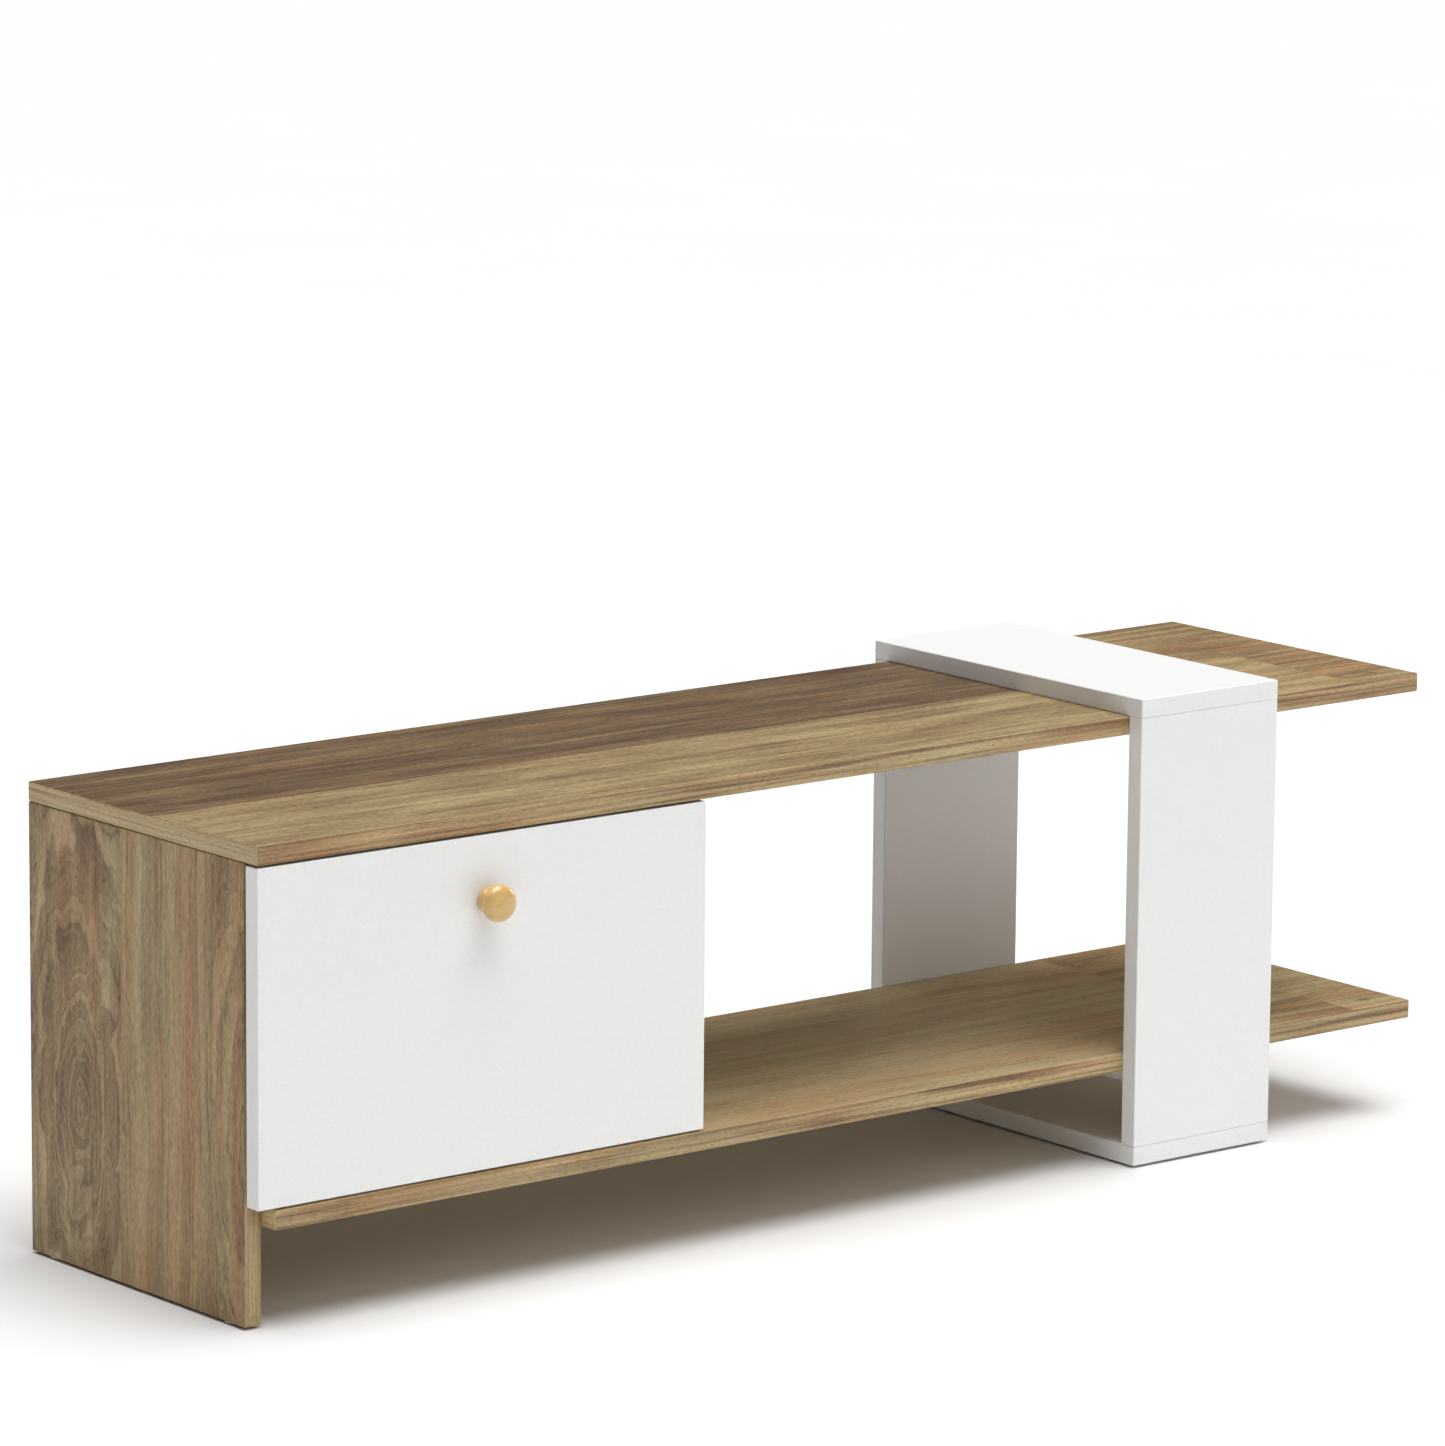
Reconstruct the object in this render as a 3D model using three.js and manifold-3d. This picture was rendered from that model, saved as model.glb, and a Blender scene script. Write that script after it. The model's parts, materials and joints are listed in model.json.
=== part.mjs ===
// TV stand: a long wood board top and shelf carried by a side panel and a white board ring.
// Millimetres, X along the length, Y from front to back, Z up from the floor.
import * as THREE from "three";
import { mergeVertices } from "three/addons/utils/BufferGeometryUtils.js";
import Module from "manifold-3d";

const wasm = await Module();
wasm.setup();

// ---------------------------------------------------------------- driving dimensions

const BOARD = 18;              // thickness of every board
const LENGTH = 1366;           // wood top, end to end
const DEPTH = 350;             // wood top and shelf, front to back
const WOOD_TOP = 428;          // upper face of the wood top, above the boards' lowest edge
const SHELF_TOP = 106;         // upper face of the wood shelf, same datum
const FRAME_X = 993;           // left face of the white ring
const FRAME_WIDTH = 172;       // width of the white ring along X
const DOOR_WIDTH = 489;        // flap door, from the left end of the stand
const DOOR_GAP = 2;            // slot above and below the door
const DOOR_BACK_GAP = 3;       // slot between the door and the panels behind it
const GLIDE_HEIGHT = 2.5;      // nail-on glide head under the boards
const RUN = 0.2;               // clearance around inserted hardware
const PIN_RUN = 0.1;           // clearance around the hinge pins

const WOOD_UNDER = WOOD_TOP - BOARD;
const SHELF_UNDER = SHELF_TOP - BOARD;
const PANEL_FRONT = BOARD + DOOR_BACK_GAP;
const DIVIDER_X = DOOR_WIDTH - BOARD;
const FRAME_END = FRAME_X + FRAME_WIDTH;
const FRAME_MID = FRAME_X + FRAME_WIDTH / 2;
const DOOR_LOW = SHELF_TOP + DOOR_GAP;
const DOOR_HIGH = WOOD_UNDER - DOOR_GAP;

const BACK_THICK = 3;          // hardboard back of the closed compartment
const BACK_INSET = 12;         // from the rear edges to the back of the hardboard
const GROOVE_DEPTH = 6;
const BACK_ENTRY = 5.4;        // how far the hardboard sits in each groove

const KNOB = { radius: 17, reach: 27, rim: 17, crown: 2.4, waist: 8.5, waistAt: 9.5, fromTop: 58 };
const KNOB_FOOT = { radius: 12, bulgeAt: 3.4, height: 7.5 };
const KNOB_SCREW = { radius: 2, reach: 14, head: 4, headHeight: 2.2 };
const GLIDE = { radius: 7, nail: 1, nailLength: 12, inset: 30 };
const BUMPER = { radius: 5, fromTop: 10 };

const CAM = { radius: 7.3, bore: 7.5, depth: 12.5, toEdge: 24, hole: 3.9 };
const CAM_ROWS = { front: 70, rear: DEPTH - 65 };
const BOLT = {
  head: 3, headHalf: 1, neck: 1.9, neckAt: 1.5, shank: 3.4, screw: 2.4, screwLength: 11, pilot: 2.6,
};

const HINGE_INSET = 84;        // hinge centre from each end of the door
const PIVOT = { y: 4.3, z: 7.9 };         // door's turning axis from its front bottom edge
const CUP = { radius: 17.4, bore: 17.7, depth: 11.5, wall: 1.2, flange: 1.2, ring: 19, edge: 3 };
const WING = { half: 28, height: 13, offset: 9.5, screwAt: 22.5 };
const LINK = { half: 5.6, thick: 1.1, eye: 3, tip: 1.8, reach: 12.7, bow: 5.7 };
const CUP_PIN = { y: 10.9, z: 2.2 };      // cup end of the link from the turning axis
const ARM_PIN = { y: 15.75, z: 23.7, radius: 1.5 };   // arm end of the link, same datum
const ARM = { half: 7.5, wall: 1.5, pinEnd: 0.5, lift: 6, tail: 20 };
const NOSE = { front: 3.4, low: 0.8, head: 0.6, step: 0.9, lip: 1.3, setBack: 0.8 };
const CRANK = { start: 9, length: 12, lowStart: 4, lowEnd: 3, thin: 1 };
const ARM_SCREW = { radius: 2.2, tip: 3, head: 4.2, headHeight: 2.2 };
const PLATE = {
  screwY: 58, wing: 22, wingHalf: 7, screwX: 16, thick: 3, blockHalf: 5.8, blockTop: 13.5, blockFront: 16,
};
const SMALL_SCREW = { head: 3.4, headHeight: 1.6, crown: 0.6, shank: 1.7, length: 11, taper: 2, tip: 0.5 };

// Crossed driver recesses: half length and half width of an arm, and depth.
const CAM_RECESS = { half: 4, width: 0.7, depth: 1.5 };
const SCREW_RECESS = { half: 1.9, width: 0.4, depth: 1.1 };
const KNOB_RECESS = { half: 2.4, width: 0.5, depth: 1.2 };

const ROUND_LARGE = 48;        // facets around large, cam-sized and screw-sized circles
const ROUND_MEDIUM = 24;
const ROUND_SMALL = 12;

// ---------------------------------------------------------------- finishes

const FINISH = {
  wood: { color: 0x8a5a38, roughness: 0.55, metalness: 0 },
  white: { color: 0xf2f2f0, roughness: 0.45, metalness: 0 },
  hardboard: { color: 0xe6e4df, roughness: 0.7, metalness: 0 },
  knob: { color: 0xd9a963, roughness: 0.3, metalness: 0 },
  steel: { color: 0xb9bcc0, roughness: 0.3, metalness: 1 },
  zinc: { color: 0xa4a6a8, roughness: 0.45, metalness: 1 },
  plastic: { color: 0xe2e2de, roughness: 0.5, metalness: 0 },
};

// ---------------------------------------------------------------- solids

/** Closed three.js geometry as a manifold solid. */
function toSolid(geometry) {
  const bare = geometry.clone();
  bare.deleteAttribute("normal");
  bare.deleteAttribute("uv");
  const merged = mergeVertices(bare, 1e-4);
  const index = merged.index.array;
  const triangles = [];
  for (let i = 0; i < index.length; i += 3) {
    const [a, b, c] = [index[i], index[i + 1], index[i + 2]];
    if (a !== b && b !== c && c !== a) triangles.push(a, b, c);
  }
  return new wasm.Manifold(new wasm.Mesh({
    numProp: 3,
    vertProperties: new Float32Array(merged.attributes.position.array),
    triVerts: new Uint32Array(triangles),
  }));
}

/** Manifold solid as a three.js geometry. */
function toGeometry(solid) {
  const mesh = solid.getMesh();
  const geometry = new THREE.BufferGeometry();
  geometry.setAttribute("position", new THREE.BufferAttribute(mesh.vertProperties, 3));
  geometry.setIndex(new THREE.BufferAttribute(mesh.triVerts, 1));
  geometry.computeVertexNormals();
  return geometry;
}

/** Box between two corners. */
function box(x0, x1, y0, y1, z0, z1) {
  const geometry = new THREE.BoxGeometry(x1 - x0, y1 - y0, z1 - z0);
  geometry.translate((x0 + x1) / 2, (y0 + y1) / 2, (z0 + z1) / 2);
  return toSolid(geometry);
}

/** Board along X in lengths that meet at the given stations, so each clear stretch has its own faces. */
function longBoard(stations, z0, z1) {
  const lengths = stations.slice(1).map((end, i) => box(stations[i], end, 0, DEPTH, z0, z1));
  return lengths.reduce((board, length) => board.add(length));
}

/** Frame whose local X, Y, Z run along three given directions from an origin. */
function frameAt(origin, ex, ey, ez) {
  return new THREE.Matrix4()
    .makeBasis(new THREE.Vector3(...ex), new THREE.Vector3(...ey), new THREE.Vector3(...ez))
    .setPosition(...origin);
}

const ALONG_X = [[0, 1, 0], [1, 0, 0], [0, 0, -1]];
const ALONG_Y = [[1, 0, 0], [0, 1, 0], [0, 0, 1]];
const ALONG_Z = [[1, 0, 0], [0, 0, 1], [0, -1, 0]];

/** Turned solid: profile points [radius, height], with the height along the given axis. */
function turned(points, origin, axes, facets) {
  const profile = points.map(([radius, height]) => new THREE.Vector2(radius, height));
  const geometry = new THREE.LatheGeometry(profile, facets);
  geometry.applyMatrix4(frameAt(origin, ...axes));
  const solid = toSolid(geometry);
  if (solid.volume() < 0) throw new Error("turned profile runs the wrong way");
  return solid;
}

/** Points [radius, height] on an oval arc between two angles; a power over 2 squares it up. */
function arc(centre, radii, from, to, steps, power = 2) {
  const squared = (value) => Math.sign(value) * Math.abs(value) ** (2 / power);
  return Array.from({ length: steps + 1 }, (_, i) => {
    const angle = from + ((to - from) * i) / steps;
    return [centre[0] + radii[0] * squared(Math.cos(angle)), centre[1] + radii[1] * squared(Math.sin(angle))];
  });
}

/** Round bar along an axis, from one height to another. */
function rod(origin, axes, radius, from, to, facets = ROUND_SMALL) {
  return turned([[0, from], [radius, from], [radius, to], [0, to]], origin, axes, facets);
}

/** Side outline [y, z] extruded along X between two positions. */
function sideProfile(points, x0, x1) {
  const shape = new THREE.Shape(points.map(([y, z]) => new THREE.Vector2(y, z)));
  const geometry = new THREE.ExtrudeGeometry(shape, { depth: x1 - x0, bevelEnabled: false });
  geometry.applyMatrix4(frameAt([x0, 0, 0], [0, 1, 0], [0, 0, 1], [1, 0, 0]));
  return toSolid(geometry);
}

/** Flat strip along X between two side points, as thick as given. */
function strip(from, to, thick, x0, x1) {
  const length = Math.hypot(to[0] - from[0], to[1] - from[1]);
  const nx = (-(to[1] - from[1]) / length) * thick;
  const ny = ((to[0] - from[0]) / length) * thick;
  return sideProfile([
    [from[0] - nx, from[1] - ny],
    [to[0] - nx, to[1] - ny],
    [to[0] + nx, to[1] + ny],
    [from[0] + nx, from[1] + ny],
  ], x0, x1);
}

/** Crossed recess for a driver, sunk from a height along the given axis. */
function recess(origin, axes, { half, width, depth }, top) {
  const place = frameAt(origin, ...axes);
  const bars = [[half, width], [width, half]].map(([a, b]) => {
    const bar = new THREE.BoxGeometry(2 * a, 2 * depth, 2 * b);
    return toSolid(bar.translate(0, top, 0).applyMatrix4(place));
  });
  return bars[0].add(bars[1]);
}

/** First solid with every other one joined to it. */
function join(first, ...others) {
  return others.reduce((sum, solid) => sum.add(solid), first);
}

/** First solid with every other one cut from it. */
function cut(first, ...others) {
  return others.reduce((rest, solid) => rest.subtract(solid), first);
}

// ---------------------------------------------------------------- boards, before boring

const boards = {
  top_board: {
    finish: "wood",
    solid: longBoard([0, FRAME_X, FRAME_END, LENGTH], WOOD_UNDER, WOOD_TOP),
  },
  left_side_panel: {
    finish: "wood",
    solid: box(0, BOARD, PANEL_FRONT, DEPTH, 0, WOOD_UNDER),
  },
  lower_shelf: {
    finish: "wood",
    solid: longBoard([BOARD, DOOR_WIDTH, FRAME_X, FRAME_END, LENGTH], SHELF_UNDER, SHELF_TOP),
  },
  divider_panel: {
    finish: "wood",
    solid: box(DIVIDER_X, DOOR_WIDTH, PANEL_FRONT, DEPTH, SHELF_TOP, WOOD_UNDER),
  },
  frame_top_board: {
    finish: "white",
    solid: box(FRAME_X, FRAME_END, -BOARD, DEPTH + BOARD, WOOD_TOP, WOOD_TOP + BOARD),
  },
  frame_base_board: {
    finish: "white",
    solid: box(FRAME_X, FRAME_END, -BOARD, DEPTH + BOARD, 0, BOARD),
  },
  frame_front_upright: {
    finish: "white",
    solid: box(FRAME_X, FRAME_END, -BOARD, 0, BOARD, WOOD_TOP),
  },
  frame_rear_upright: {
    finish: "white",
    solid: box(FRAME_X, FRAME_END, DEPTH, DEPTH + BOARD, BOARD, WOOD_TOP),
  },
  door_panel: {
    finish: "white",
    solid: box(0, DOOR_WIDTH, 0, BOARD, DOOR_LOW, DOOR_HIGH),
  },
};

/** Cuts a board that is already in the table. */
function bore(name, ...tools) {
  boards[name].solid = cut(boards[name].solid, ...tools);
}

const parts = [];

/** Adds a finished piece to the assembly. */
function addPart(name, finish, solid) {
  parts.push({ name, finish, solid });
}

// ---------------------------------------------------------------- hardboard back in its grooves

const BACK_Y = DEPTH - BACK_INSET - BACK_THICK;

function addCompartmentBack() {
  const y0 = BACK_Y - RUN;
  const y1 = BACK_Y + BACK_THICK + RUN;
  const x0 = BOARD - GROOVE_DEPTH;
  const x1 = DIVIDER_X + GROOVE_DEPTH;
  bore("left_side_panel", box(x0, BOARD + 1, y0, y1, SHELF_TOP - GROOVE_DEPTH, WOOD_UNDER + 1));
  bore("divider_panel", box(DIVIDER_X - 1, x1, y0, y1, SHELF_TOP - 1, WOOD_UNDER + 1));
  bore("top_board", box(x0, x1, y0, y1, WOOD_UNDER - 1, WOOD_UNDER + GROOVE_DEPTH));
  bore("lower_shelf", box(BOARD - 1, x1, y0, y1, SHELF_TOP - GROOVE_DEPTH, SHELF_TOP + 1));
  addPart("compartment_back_panel", "hardboard", box(
    BOARD - BACK_ENTRY, DIVIDER_X + BACK_ENTRY, BACK_Y, BACK_Y + BACK_THICK,
    SHELF_TOP - GROOVE_DEPTH, WOOD_UNDER + BACK_ENTRY,
  ));
}

// ---------------------------------------------------------------- cam fittings

const MID_BOARD = BOARD / 2;

/**
 * Cam housing in the face of one board and its bolt in the next board.
 * The frame's X runs along the bolt and its Z out of the bored face.
 */
function addCamFitting(label, host, mate, origin, alongBolt, outOfFace) {
  const across = new THREE.Vector3(...outOfFace).cross(new THREE.Vector3(...alongBolt)).toArray();
  const place = frameAt(origin, alongBolt, across, outOfFace);
  const placed = (solid) => toSolid(toGeometry(solid).applyMatrix4(place));
  const centre = [0, 0, 0];
  const boltLine = [0, 0, -MID_BOARD];
  const screwEnd = CAM.toEdge + BOLT.screwLength;

  bore(
    host,
    placed(rod(centre, ALONG_Z, CAM.bore, -CAM.depth, 1, ROUND_MEDIUM)),
    placed(rod(boltLine, ALONG_X, CAM.hole, 0, CAM.toEdge + 1)),
  );
  bore(mate, placed(rod(boltLine, ALONG_X, BOLT.pilot, CAM.toEdge - 1, screwEnd + RUN)));

  const slot = box(-BOLT.head, CAM.bore, -CAM.hole, CAM.hole, -CAM.depth - 1, -MID_BOARD + CAM.hole);
  const housing = rod(centre, ALONG_Z, CAM.radius, -CAM.depth, 0, ROUND_MEDIUM);
  addPart(`cam_${label}`, "zinc", placed(cut(housing, slot, recess(centre, ALONG_Z, CAM_RECESS, 0))));

  const bolt = turned([
    [0, -BOLT.neckAt], [BOLT.head, -BOLT.headHalf], [BOLT.head, BOLT.headHalf], [BOLT.neck, BOLT.neckAt],
    [BOLT.neck, CAM.bore], [BOLT.shank, CAM.bore + 1], [BOLT.shank, CAM.toEdge],
    [BOLT.screw, CAM.toEdge], [BOLT.screw, screwEnd], [0, screwEnd],
  ], boltLine, ALONG_X, ROUND_SMALL);
  addPart(`cam_bolt_${label}`, "steel", placed(bolt));
}

const LEFT = [-1, 0, 0];
const RIGHT = [1, 0, 0];
const FRONT = [0, -1, 0];
const REAR = [0, 1, 0];
const UP = [0, 0, 1];
const DOWN = [0, 0, -1];

function addCamFittings() {
  for (const [row, y] of Object.entries(CAM_ROWS)) {
    const camZ = WOOD_UNDER - CAM.toEdge;
    addCamFitting(`side_${row}`, "left_side_panel", "top_board", [BOARD, y, camZ], UP, RIGHT);
    addCamFitting(`divider_${row}`, "divider_panel", "top_board", [DIVIDER_X, y, camZ], UP, LEFT);
    addCamFitting(
      `shelf_${row}`, "lower_shelf", "left_side_panel",
      [BOARD + CAM.toEdge, y, SHELF_UNDER], LEFT, DOWN,
    );
  }
  const levels = { top: ["top_board", WOOD_UNDER], shelf: ["lower_shelf", SHELF_UNDER] };
  for (const [level, [host, z]] of Object.entries(levels)) {
    addCamFitting(
      `frame_${level}_front`, host, "frame_front_upright",
      [FRAME_MID, CAM.toEdge, z], FRONT, DOWN,
    );
    addCamFitting(
      `frame_${level}_rear`, host, "frame_rear_upright",
      [FRAME_MID, DEPTH - CAM.toEdge, z], REAR, DOWN,
    );
  }
}

// ---------------------------------------------------------------- glides under the boards

function addGlides() {
  const edge = GLIDE.inset;
  const spots = {
    side_front: ["left_side_panel", MID_BOARD, PANEL_FRONT + edge],
    side_rear: ["left_side_panel", MID_BOARD, DEPTH - edge],
    frame_front_left: ["frame_base_board", FRAME_X + edge, -BOARD + edge],
    frame_front_right: ["frame_base_board", FRAME_END - edge, -BOARD + edge],
    frame_rear_left: ["frame_base_board", FRAME_X + edge, DEPTH + BOARD - edge],
    frame_rear_right: ["frame_base_board", FRAME_END - edge, DEPTH + BOARD - edge],
  };
  for (const [label, [host, x, y]] of Object.entries(spots)) {
    const origin = [x, y, 0];
    bore(host, rod(origin, ALONG_Z, GLIDE.nail + RUN, -1, GLIDE.nailLength + RUN));
    addPart(`glide_${label}`, "plastic", turned([
      [0, -GLIDE_HEIGHT], [GLIDE.radius - 1, -GLIDE_HEIGHT], [GLIDE.radius, -GLIDE_HEIGHT + 1],
      [GLIDE.radius, 0], [GLIDE.nail, 0], [GLIDE.nail, GLIDE.nailLength], [0, GLIDE.nailLength],
    ], origin, ALONG_Z, ROUND_MEDIUM));
  }
}

// ---------------------------------------------------------------- knob, its screw and the bumpers

function addDoorFittings() {
  const centre = [DOOR_WIDTH / 2, 0, DOOR_HIGH - KNOB.fromTop];
  const quarter = Math.PI / 2;
  const footEnd = Math.asin(KNOB_FOOT.bulgeAt / (KNOB_FOOT.height - KNOB_FOOT.bulgeAt));
  const profile = [
    ...arc([0, -KNOB.rim], [KNOB.radius, KNOB.reach - KNOB.rim], -quarter, 0, 9, KNOB.crown),
    ...arc(
      [KNOB.waist, -KNOB.rim], [KNOB.radius - KNOB.waist, KNOB.rim - KNOB.waistAt], 0, quarter, 6,
    ).slice(1),
    ...arc(
      [KNOB.waist, -KNOB_FOOT.bulgeAt],
      [KNOB_FOOT.radius - KNOB.waist, KNOB_FOOT.height - KNOB_FOOT.bulgeAt],
      -quarter, footEnd, 7,
    ),
    [0, 0],
  ];
  const { radius, reach, head, headHeight } = KNOB_SCREW;
  const hole = rod(centre, ALONG_Y, radius + RUN, -reach - 1, BOARD + 1, ROUND_SMALL);
  addPart("door_knob", "knob", cut(turned(profile, centre, ALONG_Y, ROUND_LARGE), hole));
  bore("door_panel", hole);
  addPart("door_knob_screw", "steel", cut(
    turned([
      [0, -reach], [radius, -reach], [radius, BOARD],
      ...arc([0, BOARD], [head, headHeight], 0, quarter, 4),
    ], centre, ALONG_Y, ROUND_MEDIUM),
    recess(centre, ALONG_Y, KNOB_RECESS, BOARD + headHeight),
  ));

  const bumperZ = DOOR_HIGH - BUMPER.fromTop;
  const bumperX = { left: MID_BOARD, right: DOOR_WIDTH - MID_BOARD };
  for (const [side, x] of Object.entries(bumperX)) {
    addPart(`bumper_${side}`, "plastic",
      rod([x, 0, bumperZ], ALONG_Y, BUMPER.radius, BOARD, PANEL_FRONT, ROUND_MEDIUM));
  }
}

// ---------------------------------------------------------------- concealed cup hinges

const PIVOT_Y = PIVOT.y;
const PIVOT_Z = DOOR_LOW + PIVOT.z;
const CUP_Z = DOOR_LOW + CUP.edge + CUP.bore;
const SCREW_BITE = SMALL_SCREW.length - SMALL_SCREW.headHeight;

/** Small screw with a crossed recess: its height runs out of the head, which sits at the seat. */
function smallScrew(origin, axes, seat) {
  const { head, headHeight, crown, shank, taper, tip } = SMALL_SCREW;
  const top = seat + headHeight;
  const end = seat - SCREW_BITE;
  return cut(
    turned([
      [0, end], [tip, end], [shank, end + taper], [shank, seat], [head, seat], [head - crown, top], [0, top],
    ], origin, axes, ROUND_SMALL),
    recess(origin, axes, SCREW_RECESS, top),
  );
}

/** Clearance hole for a small screw, as deep as the screw reaches. */
function screwHole(origin, axes, seat) {
  return rod(origin, axes, SMALL_SCREW.shank + RUN, seat - SCREW_BITE - RUN, seat + 1);
}

function addHinge(side, x) {
  const name = (piece) => `hinge_${side}_${piece}`;
  const cupCentre = [x, 0, CUP_Z];
  const inner = CUP.radius - CUP.wall;
  const floorOut = BOARD - CUP.depth;
  const flangeTop = BOARD + CUP.flange;

  bore("door_panel", rod(cupCentre, ALONG_Y, CUP.bore, floorOut, BOARD + 1, ROUND_LARGE));
  const dish = turned([
    [0, floorOut], [CUP.radius, floorOut], [CUP.radius, BOARD], [CUP.ring, BOARD],
    [CUP.ring, flangeTop], [inner, flangeTop], [inner, floorOut + CUP.wall],
    [0, floorOut + CUP.wall],
  ], cupCentre, ALONG_Y, ROUND_LARGE);
  const wingZ = CUP_Z + WING.offset;
  const wingLow = wingZ - WING.height / 2;
  const wing = cut(
    box(x - WING.half, x + WING.half, BOARD, flangeTop, wingLow, wingLow + WING.height),
    rod(cupCentre, ALONG_Y, inner, BOARD - 1, flangeTop + 1, ROUND_LARGE),
  );
  let cup = join(dish, wing);
  for (const [label, dx] of [["a", -WING.screwAt], ["b", WING.screwAt]]) {
    const origin = [x + dx, 0, wingZ];
    const hole = screwHole(origin, ALONG_Y, flangeTop);
    cup = cut(cup, hole);
    bore("door_panel", hole);
    addPart(name(`cup_screw_${label}`), "steel", smallScrew(origin, ALONG_Y, flangeTop));
  }
  addPart(name("cup"), "zinc", cup);

  const armPin = [PIVOT_Y + ARM_PIN.y, PIVOT_Z + ARM_PIN.z];
  const cupPin = [PIVOT_Y + CUP_PIN.y, PIVOT_Z + CUP_PIN.z];
  const span = Math.hypot(armPin[0] - cupPin[0], armPin[1] - cupPin[1]);
  const along = [(armPin[0] - cupPin[0]) / span, (armPin[1] - cupPin[1]) / span];
  const knee = [
    cupPin[0] + LINK.reach * along[0] - LINK.bow * along[1],
    cupPin[1] + LINK.reach * along[1] + LINK.bow * along[0],
  ];
  const x0 = x - LINK.half;
  const x1 = x + LINK.half;
  const acrossX = ([y, z]) => [x, y, z];
  const pinHole = rod(acrossX(armPin), ALONG_X, ARM_PIN.radius + PIN_RUN, -ARM.half - 1, ARM.half + 1);
  const link = cut(
    join(
      strip(cupPin, knee, LINK.thick, x0, x1),
      strip(knee, armPin, LINK.thick, x0, x1),
      rod(acrossX(cupPin), ALONG_X, LINK.tip, -LINK.half, LINK.half),
      rod(acrossX(knee), ALONG_X, LINK.thick, -LINK.half, LINK.half),
      rod(acrossX(armPin), ALONG_X, LINK.eye, -LINK.half, LINK.half, ROUND_MEDIUM),
    ),
    pinHole,
  );
  addPart(name("link"), "steel", link);
  addPart(name("arm_pin"), "steel",
    rod(acrossX(armPin), ALONG_X, ARM_PIN.radius, -ARM.half - ARM.pinEnd, ARM.half + ARM.pinEnd));

  const plateTop = SHELF_TOP + PLATE.blockTop;
  const webTop = plateTop + ARM.wall;
  const noseTop = armPin[1] + LINK.eye + ARM.wall + NOSE.head;
  const noseFront = armPin[0] - NOSE.front;
  const noseLow = armPin[1] - LINK.eye - NOSE.low;
  const noseStep = armPin[1] + NOSE.step;
  const noseBack = flangeTop + NOSE.setBack;
  const crankStart = armPin[0] + CRANK.start;
  const crankEnd = crankStart + CRANK.length;
  const lowStart = crankStart - CRANK.lowStart;
  const lowEnd = crankEnd - CRANK.lowEnd;
  const armLow = SHELF_TOP + ARM.lift;
  const armEnd = PLATE.screwY + ARM.tail;
  const outer = sideProfile([
    [noseFront, noseLow], [lowStart, noseLow], [lowEnd, armLow], [armEnd, armLow], [armEnd, webTop],
    [crankEnd, webTop], [crankStart, noseTop], [noseBack, noseTop], [noseBack, noseStep + NOSE.lip],
    [noseFront, noseStep],
  ], x - ARM.half, x + ARM.half);
  // The hollow is the same crank one wall lower, open at the front, below and at the tail.
  const hollow = sideProfile([
    [noseFront - 1, noseLow - ARM.half], [lowStart, noseLow - ARM.half], [lowEnd, SHELF_TOP],
    [armEnd + 1, SHELF_TOP], [armEnd + 1, plateTop], [crankEnd - CRANK.thin, plateTop],
    [crankStart - CRANK.thin, noseTop - ARM.wall], [noseFront - 1, noseTop - ARM.wall],
  ], x - ARM.half + ARM.wall, x + ARM.half - ARM.wall);
  const armScrewAt = [x, PLATE.screwY, 0];
  const armScrewTip = SHELF_TOP + ARM_SCREW.tip;
  const armScrewHole = rod(armScrewAt, ALONG_Z, ARM_SCREW.radius + RUN, armScrewTip - RUN, webTop + 1);
  addPart(name("arm"), "zinc", cut(outer, hollow, pinHole, armScrewHole));
  addPart(name("arm_screw"), "steel", cut(
    turned([
      [0, armScrewTip], [ARM_SCREW.radius, armScrewTip], [ARM_SCREW.radius, webTop],
      ...arc([0, webTop], [ARM_SCREW.head, ARM_SCREW.headHeight], 0, Math.PI / 2, 4),
    ], armScrewAt, ALONG_Z, ROUND_MEDIUM),
    recess(armScrewAt, ALONG_Z, KNOB_RECESS, webTop + ARM_SCREW.headHeight),
  ));

  let plate = cut(
    join(
      box(x - PLATE.blockHalf, x + PLATE.blockHalf, PLATE.screwY - PLATE.blockFront, armEnd,
        SHELF_TOP, plateTop),
      box(x - PLATE.wing, x + PLATE.wing, PLATE.screwY - PLATE.wingHalf, PLATE.screwY + PLATE.wingHalf,
        SHELF_TOP, SHELF_TOP + PLATE.thick),
    ),
    armScrewHole,
  );
  for (const [label, dx] of [["a", -PLATE.screwX], ["b", PLATE.screwX]]) {
    const origin = [x + dx, PLATE.screwY, 0];
    const seat = SHELF_TOP + PLATE.thick;
    const hole = screwHole(origin, ALONG_Z, seat);
    plate = cut(plate, hole);
    bore("lower_shelf", hole);
    addPart(name(`plate_screw_${label}`), "steel", smallScrew(origin, ALONG_Z, seat));
  }
  addPart(name("mounting_plate"), "zinc", plate);
}

// ---------------------------------------------------------------- assembly

addCompartmentBack();
addCamFittings();
addGlides();
addDoorFittings();
addHinge("left", HINGE_INSET);
addHinge("right", DOOR_WIDTH - HINGE_INSET);
for (const [name, board] of Object.entries(boards)) addPart(name, board.finish, board.solid);

// Origin: bottom centre of the whole stand, with the knob as its foremost point.
const ORIGIN_X = LENGTH / 2;
const ORIGIN_Y = (DEPTH + BOARD - KNOB.reach) / 2;

const group = new THREE.Group();
group.name = "tv_stand_with_doors";
for (const { name, finish, solid } of parts) {
  const geometry = toGeometry(solid);
  geometry.translate(-ORIGIN_X, -ORIGIN_Y, GLIDE_HEIGHT);
  const mesh = new THREE.Mesh(geometry, new THREE.MeshStandardMaterial(FINISH[finish]));
  mesh.name = name;
  group.add(mesh);
}

export default group;
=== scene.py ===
"""Looks for the TV stand: rounded laminate boards, turned knob, plated fittings, studio light."""

import json
import logging
import math
from dataclasses import dataclass
from enum import Enum
from typing import Any, Callable

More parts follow.
